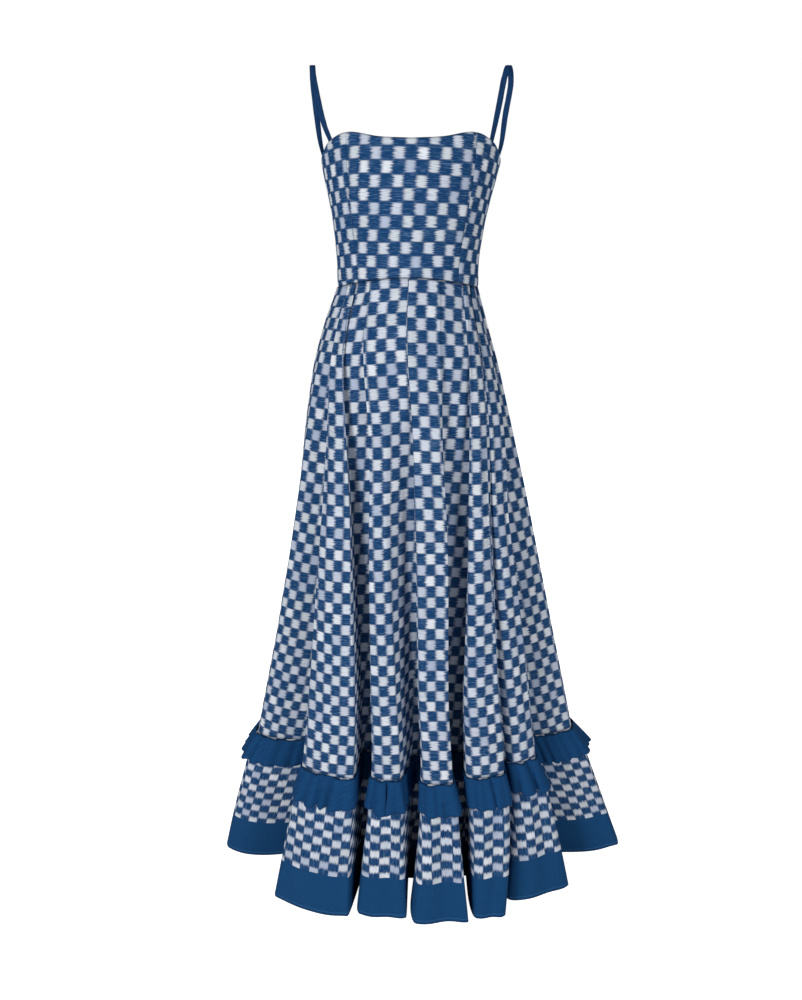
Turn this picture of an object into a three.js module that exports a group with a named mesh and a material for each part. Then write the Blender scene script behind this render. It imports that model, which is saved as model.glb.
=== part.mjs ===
import * as THREE from 'three';

// Long sundress, worn and hollow, in millimetres: +X to the viewer's right, +Y to the back, +Z up.
// The origin is midway between the two shoulders, where the undersides of the straps are carried.
// A drop is a distance below the origin, and an angle runs round the dress from the centre front.

// Cloth and seams
const clothWall = 1.4;
const seamGap = 0.3;
const degree = Math.PI / 180;

// Heights of the main lines, as drops
const waistDrop = 308;
const waistSideDip = 17;
const ruffleSeamDrop = 1178;
const ruffleHeight = 54;
const hemDrop = 1465;

// Where the long seams run round the dress
const sideSeamAngle = 90;
const backSeamAngle = 180;

// Fineness of the walls: folds are cut in steps round the dress, bands run down it
const skirtStepsPerFold = 10;
const skirtBands = 10;
const flounceStepsPerFold = 20;
const ruffleBands = 2;
const bodiceBands = 7;
const frontPanelSteps = 14;
const sidePanelSteps = 8;
const backPanelSteps = 12;
const strapRows = 36;
const curveSteps = 9;

// Bodice sections: half widths and depths to front and back, wider over the bust
const bodiceRings = [
  { drop: 95, halfWidth: 149, front: 103, back: 92, centre: 0 },
  { drop: 131, halfWidth: 143, front: 109, back: 94, centre: 0 },
  { drop: 160, halfWidth: 137, front: 110, back: 94, centre: -1 },
  { drop: 190, halfWidth: 130, front: 106, back: 92, centre: -2 },
  { drop: 221, halfWidth: 124, front: 100, back: 89, centre: -3 },
  { drop: 251, halfWidth: 120, front: 94, back: 87, centre: -4 },
  { drop: 282, halfWidth: 117, front: 89, back: 86, centre: -5 },
  { drop: 330, halfWidth: 117, front: 86, back: 86, centre: -5 },
];

// Skirt sections over the crests of the folds
const skirtRings = [
  { drop: 300, halfWidth: 117, front: 87, back: 87, centre: -5 },
  { drop: 330, halfWidth: 119, front: 91, back: 90, centre: -6 },
  { drop: 379, halfWidth: 136, front: 97, back: 98, centre: -9 },
  { drop: 446, halfWidth: 157, front: 104, back: 108, centre: -9 },
  { drop: 515, halfWidth: 173, front: 112, back: 118, centre: -6 },
  { drop: 661, halfWidth: 204, front: 127, back: 136, centre: 1 },
  { drop: 817, halfWidth: 238, front: 143, back: 154, centre: 6 },
  { drop: 984, halfWidth: 274, front: 160, back: 173, centre: 9 },
  { drop: 1178, halfWidth: 319, front: 178, back: 192, centre: 10 },
];

// Flounce sections over the crests of the folds
const flounceRings = [
  { drop: 1178, halfWidth: 320, front: 179, back: 193, centre: 10 },
  { drop: 1232, halfWidth: 346, front: 190, back: 204, centre: 14 },
  { drop: 1307, halfWidth: 374, front: 199, back: 214, centre: 18 },
  { drop: 1386, halfWidth: 400, front: 208, back: 223, centre: 23 },
  { drop: 1465, halfWidth: 425, front: 215, back: 230, centre: 28 },
];

// The waist pleats, each opening into a deep fold. At shares of the skirt's length: the angle of the
// crisp lip that overlaps the fold, and how far before the lip the cloth starts to sink. Then: where
// the bottom lies in that run, how much of the way to it the sinking side takes, the fold's depth at
// the hem, the share above which it is a pleat, and how far the crest that follows it lies inside
// the section at the hem.
const foldShares = [0, 0.2, 0.35, 0.6, 0.75, 1];
const folds = [
  {
    lip: [-56, -51, -50, -47, -45, -45.7], run: [5, 20, 27, 32, 36, 37],
    reach: 1.1, slant: 0.85, depth: 126, start: 0.1, setback: 3,
  },
  {
    lip: [-32, -22.4, -21.2, -18.4, -16.3, -17.4], run: [14, 12.8, 8.5, 5, 4.7, 1.4],
    reach: 1.1, slant: 0.2, depth: 118, start: 0.1, setback: 14,
  },
  {
    lip: [0.4, 1.6, 0.3, 0, 0.8, -3.4], run: [21, 14, 12.6, 7.8, 6.2, 1.4],
    reach: 1.3, slant: 0.8, depth: 116, start: 0.12, setback: 0,
  },
  {
    lip: [52, 35, 26.4, 18, 16.4, 11.8], run: [26, 17, 10.6, 6.2, 4.4, 1.4],
    reach: 1.6, slant: 0.2, depth: 118, start: 0.1, setback: 8,
  },
  {
    lip: [62, 50, 42, 36.6, 35.3, 23], run: [3, 3.2, 3.6, 4.2, 4.2, 2.6],
    reach: 0.7, slant: 0.35, depth: 60, start: 0.2, setback: 34,
  },
  {
    lip: [76, 80, 83, 84, 84, 84], run: [5, 16, 29, 32.5, 34.5, 40],
    reach: 0.1, slant: 0.3, depth: 126, start: 0.12, setback: 4,
  },
  {
    lip: [128, 128, 128, 127, 127, 127], run: [9, 12, 12, 9, 8, 4],
    reach: 1.1, slant: 0.5, depth: 76, start: 0.2, setback: 6,
  },
  {
    lip: [150, 150, 149, 148, 148, 148], run: [12, 12, 10, 8, 7, 3],
    reach: 1.2, slant: 0.6, depth: 70, start: 0.16, setback: 10,
  },
  {
    lip: [171, 170, 169, 168, 168, 168], run: [8, 10, 10, 8, 7, 3],
    reach: 1.2, slant: 0.6, depth: 62, start: 0.24, setback: 0,
  },
  {
    lip: [198, 198, 199, 200, 200, 200], run: [12, 12, 11, 9, 8, 3],
    reach: 1.1, slant: 0.5, depth: 68, start: 0.2, setback: 12,
  },
  {
    lip: [219, 219, 220, 221, 221, 221], run: [9, 12, 11, 9, 8, 4],
    reach: 1.2, slant: 0.6, depth: 72, start: 0.14, setback: 4,
  },
  {
    lip: [241, 241, 242, 242, 242, 242], run: [13, 13, 12, 10, 9, 4],
    reach: 1.1, slant: 0.5, depth: 72, start: 0.22, setback: 4,
  },
];
const pleatDepth = 3.2;
const openingPower = 0.9;
const reachSpeed = 3;

// How a fold's shape is shared out between one bottom and the next: the parts over which the cloth
// leaves the bottom, climbs to the lip and the crest, runs to the next fold and sinks again, and
// half the angle that the bottom is wide
const bottomPart = 0.1;
const lipPart = 0.28;
const crestPart = 0.34;
const spreadFrom = 0.16;
const spreadTo = 0.8;
const sinkFrom = 0.7;
const sunkAt = 0.8;
const bottomHalfWidth = 0.9;

// The crests are rounded: how far their edges lie inside their middle at the hem
const crestMiddle = 0.5;
const crestHalf = 0.22;
const crestRound = 9;

// Side and back seams of the skirt, as places counted in folds with a bottom on each whole number
const leftSeamPlace = -0.6;
const rightSeamPlace = 5.4;
const backSeamPlace = 8.5;

// Heights of the flounce's bands between the ruffle's edge and the hem
const flounceMidDrops = [1318, 1392];

// Small gathers of the flounce, counted in steps of the wall round the dress, and the share of
// their size, and of the ruffle's waves, that is left in the bottom of a fold
const flounceGatherSteps = 4;
const flounceGatherDepth = 3;
const valleyRoom = 0.06;
const roomPower = 2;

// Waves of the narrow ruffle over the flounce seam
const ruffleWaveSteps = 4;
const ruffleTopWave = 0.8;
const ruffleHemWave = 7;
const ruffleFlare = 3;
const ruffleClearance = 0.45;

// Princess seams and the top edge of the bodice
const princessSeams = [
  { drop: 100, angle: 40 },
  { drop: 195, angle: 46 },
  { drop: 255, angle: 45 },
  { drop: 330, angle: 43 },
];
const topEdge = [
  { angle: 0, drop: 112 },
  { angle: 18, drop: 109.5 },
  { angle: 40, drop: 101 },
  { angle: 60, drop: 112 },
  { angle: 72, drop: 124 },
  { angle: 90, drop: 137 },
  { angle: 130, drop: 141 },
  { angle: 180, drop: 142 },
];

// Straps: one narrow rouleau each, sewn inside the side back, over the shoulder, to the front corner
const strapWidth = 9;
const strapThickness = 2;
const strapSewnLength = 12;
const strapClearance = 0.8;
const strapEdgeShare = 0.7;
const strapTurnFrom = 0.25;
const strapTurnTo = 0.85;
const strapFrontAngle = 58;
const strapBackAngle = 101;
const strapRunLeft = [
  { across: -145, alongY: 24, drop: 106 },
  { across: -150, alongY: 25, drop: 64 },
  { across: -153, alongY: 16, drop: 20 },
  { across: -151, alongY: -2, drop: -1 },
  { across: -148, alongY: -18, drop: 18 },
  { across: -139, alongY: -34, drop: 60 },
  { across: -131, alongY: -45, drop: 88 },
];
const strapRunRight = [
  { across: 145, alongY: 24, drop: 106 },
  { across: 150, alongY: 25, drop: 64 },
  { across: 156, alongY: 16, drop: 20 },
  { across: 150, alongY: -2, drop: -1 },
  { across: 142, alongY: -18, drop: 18 },
  { across: 134, alongY: -34, drop: 56 },
  { across: 127, alongY: -45, drop: 88 },
];

// Zip in the centre back seam
const zipLength = 380;
const zipTapeWidth = 14;
const zipTapeThickness = 1;
const zipTapeClearance = 0.6;
const sliderWidth = 3.4;
const sliderLength = 9;
const sliderPlate = 1.6;
const sliderTopInset = 5;
const archRadius = 2.7;
const archHole = 1.4;
const archStand = 0.9;
const tabWidth = 6.4;
const tabLength = 22;
const tabThickness = 1.2;
const tabBar = 1.5;
const tabSlotWidth = 4;
const tabSlotLength = 6;

const checkCloth = new THREE.MeshStandardMaterial({ color: 0x8ea6c4, roughness: 0.85 });
const blueCloth = new THREE.MeshStandardMaterial({ color: 0x23588c, roughness: 0.85 });
const zipMetal = new THREE.MeshStandardMaterial({ color: 0x2b4f78, roughness: 0.4, metalness: 0.7 });

// Smooth curve through sizes given at steps
function smoothCurve(steps, sizes, at) {
  const last = steps.length - 1;
  let row = 0;
  while (row < last - 1 && at > steps[row + 1]) row += 1;
  const slopeAt = (index) => {
    const before = Math.max(index - 1, 0);
    const after = Math.min(index + 1, last);
    return (sizes[after] - sizes[before]) / (steps[after] - steps[before]);
  };
  const span = steps[row + 1] - steps[row];
  const t = THREE.MathUtils.clamp((at - steps[row]) / span, 0, 1);
  const startWeight = 2 * t ** 3 - 3 * t ** 2 + 1;
  const startSlope = (t ** 3 - 2 * t ** 2 + t) * span * slopeAt(row);
  const endSlope = (t ** 3 - t ** 2) * span * slopeAt(row + 1);
  return startWeight * sizes[row] + (1 - startWeight) * sizes[row + 1] + startSlope + endSlope;
}

function readTable(table, along, column, at) {
  const steps = table.map((row) => row[along]);
  const sizes = table.map((row) => row[column]);
  return smoothCurve(steps, sizes, at);
}

// A point on the plain oval section at an angle, with its outward direction
function ovalPoint(table, angle, drop) {
  const halfWidth = readTable(table, 'drop', 'halfWidth', drop);
  const depth = readTable(table, 'drop', Math.cos(angle * degree) > 0 ? 'front' : 'back', drop);
  const centre = readTable(table, 'drop', 'centre', drop);
  const point = new THREE.Vector3(
    centre + halfWidth * Math.sin(angle * degree),
    -depth * Math.cos(angle * degree),
    -drop,
  );
  const outward = new THREE.Vector3(
    depth * Math.sin(angle * degree),
    -halfWidth * Math.cos(angle * degree),
    0,
  ).normalize();
  return { point, outward };
}

const waistSeamDrop = (angle) => waistDrop + waistSideDip * Math.sin(angle * degree) ** 2;

function topEdgeDrop(angle) {
  const turned = Math.abs(THREE.MathUtils.euclideanModulo(angle + 180, 360) - 180);
  return readTable(topEdge, 'angle', 'drop', turned);
}

const foldAt = (index) => folds[THREE.MathUtils.euclideanModulo(index, folds.length)];

// How far a fold has opened at a share of the skirt's length
function foldOpening(fold, share) {
  return THREE.MathUtils.clamp((share - fold.start) / (1 - fold.start), 0, 1) ** openingPower;
}

// A fold's three angles at a share of the length: its bottom, its left edge and its lip
function foldEdges(index, share) {
  const fold = foldAt(index);
  const turns = 360 * Math.floor(index / folds.length);
  const lip = smoothCurve(foldShares, fold.lip, share) + turns;
  const run = smoothCurve(foldShares, fold.run, share);
  const reach = THREE.MathUtils.lerp(1, fold.reach, Math.min(1, foldOpening(fold, share) * reachSpeed));
  return { bottom: lip - run + run * reach, left: lip - run, lip, slant: fold.slant };
}

// Angle of a place that is counted in folds round the dress
function foldAngle(place, share) {
  const index = Math.floor(place);
  const part = place - index;
  const here = foldEdges(index, share);
  const next = foldEdges(index + 1, share);
  const leave = Math.min(1, part / bottomPart);
  const arrive = Math.max(0, 1 - (1 - part) / bottomPart);
  const climbFrom = here.bottom + bottomHalfWidth;
  const sinkTo = next.bottom - bottomHalfWidth;
  const climb = (here.lip - climbFrom) * THREE.MathUtils.smoothstep(part, bottomPart, lipPart);
  const spread = (next.left - here.lip) * THREE.MathUtils.smoothstep(part, spreadFrom, spreadTo);
  const down = THREE.MathUtils.smoothstep(part, sinkFrom, sunkAt) * next.slant;
  const across = THREE.MathUtils.smoothstep(part, sunkAt, 1 - bottomPart) * (1 - next.slant);
  const sink = (sinkTo - next.left) * (down + across);
  return here.bottom + bottomHalfWidth * (leave + arrive) + climb + spread + sink;
}

// A point of the folded skirt or flounce, before its gathers
function foldedPoint(table, place, drop) {
  const share = THREE.MathUtils.clamp((drop - waistDrop) / (hemDrop - waistDrop), 0, 1);
  const index = Math.floor(place);
  const part = place - index;
  const depthOf = (fold) => THREE.MathUtils.lerp(pleatDepth, fold.depth, foldOpening(fold, share));
  const before = foldAt(index);
  const rounded = crestRound * Math.min(1, ((part - crestMiddle) / crestHalf) ** 2);
  const crest = (before.setback + rounded) * foldOpening(before, share);
  const climbed = THREE.MathUtils.smoothstep(part, bottomPart, crestPart);
  const sunk = THREE.MathUtils.smoothstep(part, sinkFrom, sunkAt);
  const leave = (depthOf(before) - crest) * (1 - climbed);
  const enter = (depthOf(foldAt(index + 1)) - crest) * sunk;
  const { point, outward } = ovalPoint(table, foldAngle(place, share), drop);
  return point.addScaledVector(outward, -crest - leave - enter);
}

// Room for small gathers: all of it on a crest, little in the bottom of a fold
function crestRoom(place) {
  const crest = (1 - Math.cos(2 * Math.PI * place)) / 2;
  return THREE.MathUtils.lerp(valleyRoom, 1, crest ** roomPower);
}

// The next place round the dress, with none inside the narrow bottom of a fold but its middle
function nextPlace(place, stepsPerFold, way) {
  const step = Math.round(place * stepsPerFold) + way;
  const part = step / stepsPerFold - Math.round(step / stepsPerFold);
  const inBottom = Math.abs(part) > 0 && Math.abs(part) < bottomPart - 0.5 / stepsPerFold;
  return (inBottom ? step + way : step) / stepsPerFold;
}

function placesBetween(from, to, stepsPerFold) {
  const places = [from];
  while (places[places.length - 1] < to - 0.5 / stepsPerFold) {
    places.push(nextPlace(places[places.length - 1], stepsPerFold, 1));
  }
  return places;
}

// Level outward direction of a wall at a place, halfway between those of the faces beside it
function outwardAt(pointAt, row, before, place, after) {
  const here = pointAt(place, row);
  const come = here.clone().sub(pointAt(before, row)).setZ(0).normalize();
  const leave = pointAt(after, row).sub(here).setZ(0).normalize();
  const across = come.add(leave);
  return new THREE.Vector3(across.y, -across.x, 0).normalize();
}

// A closed wall from a grid of outer and inner points, columns round the dress and rows down it
function wallGeometry(outer, inner) {
  const columns = outer.length - 1;
  const rows = outer[0].length - 1;
  const positions = [];
  const push = (point) => positions.push(point.x, point.y, point.z);
  outer.forEach((column) => column.forEach(push));
  inner.forEach((column) => column.forEach(push));
  const innerStart = (columns + 1) * (rows + 1);
  const out = (i, j) => i * (rows + 1) + j;
  const inn = (i, j) => innerStart + out(i, j);
  const triangles = [];
  const quad = (a, b, c, d) => triangles.push(a, b, c, a, c, d);
  for (let i = 0; i < columns; i += 1) {
    for (let j = 0; j < rows; j += 1) {
      quad(out(i, j), out(i, j + 1), out(i + 1, j + 1), out(i + 1, j));
      quad(inn(i, j), inn(i + 1, j), inn(i + 1, j + 1), inn(i, j + 1));
    }
    quad(out(i, 0), out(i + 1, 0), inn(i + 1, 0), inn(i, 0));
    quad(out(i, rows), inn(i, rows), inn(i + 1, rows), out(i + 1, rows));
  }
  for (let j = 0; j < rows; j += 1) {
    quad(out(0, j), inn(0, j), inn(0, j + 1), out(0, j + 1));
    quad(out(columns, j), out(columns, j + 1), inn(columns, j + 1), inn(columns, j));
  }
  const geometry = new THREE.BufferGeometry();
  geometry.setAttribute('position', new THREE.Float32BufferAttribute(positions, 3));
  geometry.setIndex(triangles);
  return geometry;
}

function namedMesh(name, geometry, material) {
  const mesh = new THREE.Mesh(geometry, material);
  mesh.name = name;
  return mesh;
}

// A cloth panel through a row of places, held off its neighbours by half a seam gap at each side
function clothPanel(name, { places, rows, pointAt, outwardOf, lift = () => 0, material }) {
  const outer = [];
  const inner = [];
  const last = places.length - 1;
  places.forEach((place, i) => {
    outer.push([]);
    inner.push([]);
    for (let j = 0; j <= rows; j += 1) {
      const outward = outwardOf(place, j);
      const along = new THREE.Vector3(-outward.y, outward.x, 0);
      const inset = i === 0 ? seamGap / 2 : i === last ? -seamGap / 2 : 0;
      const point = pointAt(place, j).addScaledVector(along, inset);
      const raised = lift(place, j);
      outer[i].push(point.clone().addScaledVector(outward, raised));
      inner[i].push(point.clone().addScaledVector(outward, raised - clothWall));
    }
  });
  return namedMesh(name, wallGeometry(outer, inner), material);
}

// Bodice: the place is an angle at the waist, bent to the princess seams higher up
const princessWaist = readTable(princessSeams, 'drop', 'angle', waistDrop);

function bodiceAngle(place, row) {
  const level = THREE.MathUtils.lerp(topEdge[0].drop, waistDrop, row / bodiceBands);
  const seam = readTable(princessSeams, 'drop', 'angle', level);
  const size = Math.abs(place);
  if (size <= princessWaist) return place * (seam / princessWaist);
  if (size >= sideSeamAngle) return place;
  const shareToSide = (size - princessWaist) / (sideSeamAngle - princessWaist);
  return Math.sign(place) * THREE.MathUtils.lerp(seam, sideSeamAngle, shareToSide);
}

function bodicePoint(place, row) {
  const angle = bodiceAngle(place, row);
  const drop = THREE.MathUtils.lerp(topEdgeDrop(angle), waistSeamDrop(angle), row / bodiceBands);
  return ovalPoint(bodiceRings, angle, drop).point;
}

function bodicePanel(name, from, to, columns) {
  const places = [];
  for (let i = 0; i <= columns; i += 1) {
    places.push(THREE.MathUtils.lerp(from, to, i / columns));
  }
  return clothPanel(name, {
    places,
    rows: bodiceBands,
    pointAt: bodicePoint,
    outwardOf: (place, row) => outwardAt(bodicePoint, row, place - 1, place, place + 1),
    material: checkCloth,
  });
}

function bodice() {
  return [
    bodicePanel('bodice_front', -princessWaist, princessWaist, frontPanelSteps),
    bodicePanel('side_front_left', -sideSeamAngle, -princessWaist, sidePanelSteps),
    bodicePanel('side_front_right', princessWaist, sideSeamAngle, sidePanelSteps),
    bodicePanel('bodice_back_right', sideSeamAngle, backSeamAngle, backPanelSteps),
    bodicePanel('bodice_back_left', -backSeamAngle, -sideSeamAngle, backPanelSteps),
  ];
}

// Skirt from the waist seam to the ruffle seam
function skirtPoint(place, row) {
  const level = THREE.MathUtils.lerp(waistDrop, ruffleSeamDrop, row / skirtBands);
  const share = THREE.MathUtils.clamp((level - waistDrop) / (hemDrop - waistDrop), 0, 1);
  const top = waistSeamDrop(foldAngle(place, share)) + seamGap;
  const drop = THREE.MathUtils.lerp(top, ruffleSeamDrop, row / skirtBands);
  return foldedPoint(skirtRings, place, drop);
}

// Outward direction of a folded wall from the columns on either side
function foldOutward(pointAt, stepsPerFold) {
  return (place, row) => outwardAt(
    pointAt,
    row,
    nextPlace(place, stepsPerFold, -1),
    place,
    nextPlace(place, stepsPerFold, 1),
  );
}

function skirtPanel(name, from, to) {
  return clothPanel(name, {
    places: placesBetween(from, to, skirtStepsPerFold),
    rows: skirtBands,
    pointAt: skirtPoint,
    outwardOf: foldOutward(skirtPoint, skirtStepsPerFold),
    material: checkCloth,
  });
}

// Where the left side seam comes round again after one turn of the dress
const lastSeamPlace = leftSeamPlace + folds.length;

function skirt() {
  return [
    skirtPanel('skirt_front', leftSeamPlace, rightSeamPlace),
    skirtPanel('skirt_back_right', rightSeamPlace, backSeamPlace),
    skirtPanel('skirt_back_left', backSeamPlace, lastSeamPlace),
  ];
}

// Flounce below the ruffle seam, gathered a little at its top
const flounceDrops = [
  ruffleSeamDrop + seamGap,
  ruffleSeamDrop + ruffleHeight,
  ...flounceMidDrops,
  hemDrop,
];

function flouncePoint(place, row) {
  const drop = flounceDrops[row];
  const point = foldedPoint(flounceRings, place, drop);
  const { outward } = ovalPoint(flounceRings, foldAngle(place, 1), drop);
  const step = place * flounceStepsPerFold;
  const fade = (1 - row / flounceDrops.length) * crestRoom(place);
  const wave = Math.cos((2 * Math.PI * step) / flounceGatherSteps);
  return point.addScaledVector(outward, flounceGatherDepth * fade * (wave - 1));
}

function flouncePanel(name, from, to) {
  return clothPanel(name, {
    places: placesBetween(from, to, flounceStepsPerFold),
    rows: flounceDrops.length - 1,
    pointAt: flouncePoint,
    outwardOf: foldOutward(flouncePoint, flounceStepsPerFold),
    material: checkCloth,
  });
}

// Ruffle over the top of the flounce, made from the flounce's own columns and moved out
function rufflePoint(place, row) {
  return flouncePoint(place, 0).lerp(flouncePoint(place, 1), row / ruffleBands);
}

function ruffleLift(place, row) {
  const share = row / ruffleBands;
  const turn = (2 * Math.PI * place * flounceStepsPerFold) / ruffleWaveSteps;
  const swell = THREE.MathUtils.lerp(ruffleTopWave, ruffleHemWave, share) * (1 + Math.cos(turn)) / 2;
  return clothWall + ruffleClearance + (swell + ruffleFlare * share) * crestRoom(place);
}

function rufflePanel(name, from, to) {
  return clothPanel(name, {
    places: placesBetween(from, to, flounceStepsPerFold),
    rows: ruffleBands,
    pointAt: rufflePoint,
    outwardOf: foldOutward(rufflePoint, flounceStepsPerFold),
    lift: ruffleLift,
    material: blueCloth,
  });
}

function flounceAndRuffle() {
  return [
    flouncePanel('flounce_front', leftSeamPlace, rightSeamPlace),
    flouncePanel('flounce_back', rightSeamPlace, lastSeamPlace),
    rufflePanel('ruffle_front', leftSeamPlace, rightSeamPlace),
    rufflePanel('ruffle_back', rightSeamPlace, lastSeamPlace),
  ];
}

// A point inside the bodice top, where a strap's sewn end lies against the wall
function strapSeat(angle, below) {
  const { point, outward } = ovalPoint(bodiceRings, angle, topEdgeDrop(angle) + below);
  const inward = clothWall + strapClearance + strapThickness / 2;
  return point.addScaledVector(outward, -inward);
}

function strap(name, side, run) {
  const frontAngle = side * strapFrontAngle;
  const backAngle = side * strapBackAngle;
  const path = new THREE.CatmullRomCurve3([
    strapSeat(backAngle, strapSewnLength),
    strapSeat(backAngle, 0),
    ...run.map(({ across, alongY, drop }) => new THREE.Vector3(across, alongY, -drop)),
    strapSeat(frontAngle, 0),
    strapSeat(frontAngle, strapSewnLength),
  ], false, 'centripetal');
  const wallDirection = (angle) => {
    const { outward } = ovalPoint(bodiceRings, angle, topEdgeDrop(angle));
    return new THREE.Vector3(-outward.y, outward.x, 0);
  };
  const shoulderDirection = new THREE.Vector3(1, 0, 0);
  const backDirection = wallDirection(backAngle).negate();
  const frontDirection = wallDirection(frontAngle);
  const widthAt = (share) => {
    const end = share < 0.5 ? backDirection : frontDirection;
    const towardsEnd = Math.abs(share - 0.5) * 2;
    const turned = THREE.MathUtils.smoothstep(towardsEnd, strapTurnFrom, strapTurnTo);
    return shoulderDirection.clone().lerp(end, turned);
  };
  const outer = [[], [], []];
  const inner = [[], [], []];
  for (let j = 0; j <= strapRows; j += 1) {
    const share = j / strapRows;
    const centre = path.getPointAt(share);
    const tangent = path.getTangentAt(share);
    const width = widthAt(share);
    width.addScaledVector(tangent, -width.dot(tangent)).normalize();
    const faceOut = new THREE.Vector3().crossVectors(tangent, width);
    [-1, 0, 1].forEach((place, i) => {
      const half = (place === 0 ? 1 : strapEdgeShare) * (strapThickness / 2);
      const point = centre.clone().addScaledVector(width, (place * strapWidth) / 2);
      outer[i].push(point.clone().addScaledVector(faceOut, half));
      inner[i].push(point.clone().addScaledVector(faceOut, -half));
    });
  }
  return namedMesh(name, wallGeometry(outer, inner), blueCloth);
}

// Zip tape against the inside of the centre back seam, row for row with the panels
function zipTape() {
  const seat = clothWall + zipTapeClearance;
  const rows = [];
  for (let row = 0; row <= bodiceBands; row += 1) {
    rows.push(bodicePoint(backSeamAngle, row));
  }
  for (let row = 1; row <= skirtBands; row += 1) {
    rows.push(skirtPoint(backSeamPlace, row));
  }
  const startDrop = topEdgeDrop(backSeamAngle) + sliderTopInset;
  rows[0] = ovalPoint(bodiceRings, backSeamAngle, startDrop).point;
  const kept = rows.filter((point) => -point.z <= startDrop + zipLength);
  const column = (across, depth) => kept.map(
    (point) => new THREE.Vector3(point.x + across, point.y - depth, point.z),
  );
  const sides = [zipTapeWidth / 2, 0, -zipTapeWidth / 2];
  const outer = sides.map((across) => column(across, seat));
  const inner = sides.map((across) => column(across, seat + zipTapeThickness));
  return namedMesh('zip_tape', wallGeometry(outer, inner), blueCloth);
}

// Where the slider's arch carries the tab, just outside the top of the centre back seam
function tabPivot() {
  const drop = topEdgeDrop(backSeamAngle) + sliderTopInset + sliderLength / 2;
  const { point } = ovalPoint(bodiceRings, backSeamAngle, drop);
  return new THREE.Vector3(point.x, point.y + seamGap * 2 + sliderPlate + archStand, point.z);
}

// Slider: a side outline with a round arch and its hole, extruded across the seam
function zipSlider() {
  const outline = new THREE.Shape();
  const plateBack = -archStand - sliderPlate;
  const half = sliderLength / 2;
  const archFoot = Math.sqrt(archRadius ** 2 - archStand ** 2);
  const footAngle = Math.atan2(archFoot, -archStand);
  outline.moveTo(plateBack, -half);
  outline.lineTo(-archStand, -half);
  outline.lineTo(-archStand, -archFoot);
  outline.absarc(0, 0, archRadius, -footAngle, footAngle, false);
  outline.lineTo(-archStand, half);
  outline.lineTo(plateBack, half);
  outline.closePath();
  const hole = new THREE.Path();
  hole.absarc(0, 0, archHole, 0, 2 * Math.PI, true);
  outline.holes.push(hole);
  const geometry = new THREE.ExtrudeGeometry(outline, {
    depth: sliderWidth,
    bevelEnabled: false,
    curveSegments: curveSteps,
  });
  geometry.translate(0, 0, -sliderWidth / 2);
  geometry.rotateX(Math.PI / 2);
  geometry.rotateZ(Math.PI / 2);
  const mesh = namedMesh('zip_slider', geometry, zipMetal);
  mesh.position.copy(tabPivot());
  return mesh;
}

// Pull tab: a drop-shaped plate that hangs from the arch by the bar over its slot
function zipPullTab() {
  const outline = new THREE.Shape();
  const half = tabWidth / 2;
  const top = tabBar / 2;
  outline.moveTo(-half, top);
  outline.lineTo(-half, -tabLength + half);
  outline.absarc(0, -tabLength + half, half, Math.PI, 2 * Math.PI, false);
  outline.lineTo(half, top);
  outline.closePath();
  const slot = new THREE.Path();
  slot.moveTo(-tabSlotWidth / 2, -top);
  slot.lineTo(tabSlotWidth / 2, -top);
  slot.lineTo(tabSlotWidth / 2, -top - tabSlotLength);
  slot.lineTo(-tabSlotWidth / 2, -top - tabSlotLength);
  slot.closePath();
  outline.holes.push(slot);
  const geometry = new THREE.ExtrudeGeometry(outline, {
    depth: tabThickness,
    bevelEnabled: false,
    curveSegments: curveSteps,
  });
  geometry.translate(0, 0, -tabThickness / 2);
  geometry.rotateX(Math.PI / 2);
  const mesh = namedMesh('zip_pull_tab', geometry, zipMetal);
  mesh.position.copy(tabPivot());
  return mesh;
}

const dress = new THREE.Group();
dress.add(...bodice());
dress.add(strap('strap_left', -1, strapRunLeft));
dress.add(strap('strap_right', 1, strapRunRight));
dress.add(...skirt());
dress.add(...flounceAndRuffle());
dress.add(zipTape(), zipSlider(), zipPullTab());

export default dress;
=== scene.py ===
import math

import bmesh
import bpy
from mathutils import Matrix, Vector, noise


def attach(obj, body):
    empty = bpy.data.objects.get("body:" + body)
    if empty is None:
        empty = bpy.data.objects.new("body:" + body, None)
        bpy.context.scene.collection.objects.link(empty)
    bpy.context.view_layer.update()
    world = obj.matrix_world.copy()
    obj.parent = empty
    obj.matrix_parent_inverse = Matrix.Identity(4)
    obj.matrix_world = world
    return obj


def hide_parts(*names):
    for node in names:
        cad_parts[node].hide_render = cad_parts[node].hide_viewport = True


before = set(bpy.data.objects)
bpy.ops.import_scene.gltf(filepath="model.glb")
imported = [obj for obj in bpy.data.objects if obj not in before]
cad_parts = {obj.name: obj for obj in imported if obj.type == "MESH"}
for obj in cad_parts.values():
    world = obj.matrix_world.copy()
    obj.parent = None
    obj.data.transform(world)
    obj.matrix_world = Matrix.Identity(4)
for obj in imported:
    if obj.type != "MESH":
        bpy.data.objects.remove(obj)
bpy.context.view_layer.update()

mm = 0.001  # every size below is in millimetres, and the scene is in metres

# The whole dress. A drop is a distance below the shoulders, an angle runs round from the centre front.
dressForm = {
    "wall": 1.4,
    "seamGap": 0.3,
    "seamDip": 0.9,  # how far a stitched seam pulls the cloth in
    "seamReach": 5,
    "noSeam": 100,  # stands for far from any seam
    "waistDrop": 308,
    "waistSideDip": 17,
    "ruffleSeamDrop": 1178,
    "hemDrop": 1465,
    "sideAngle": 90,
}


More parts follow.
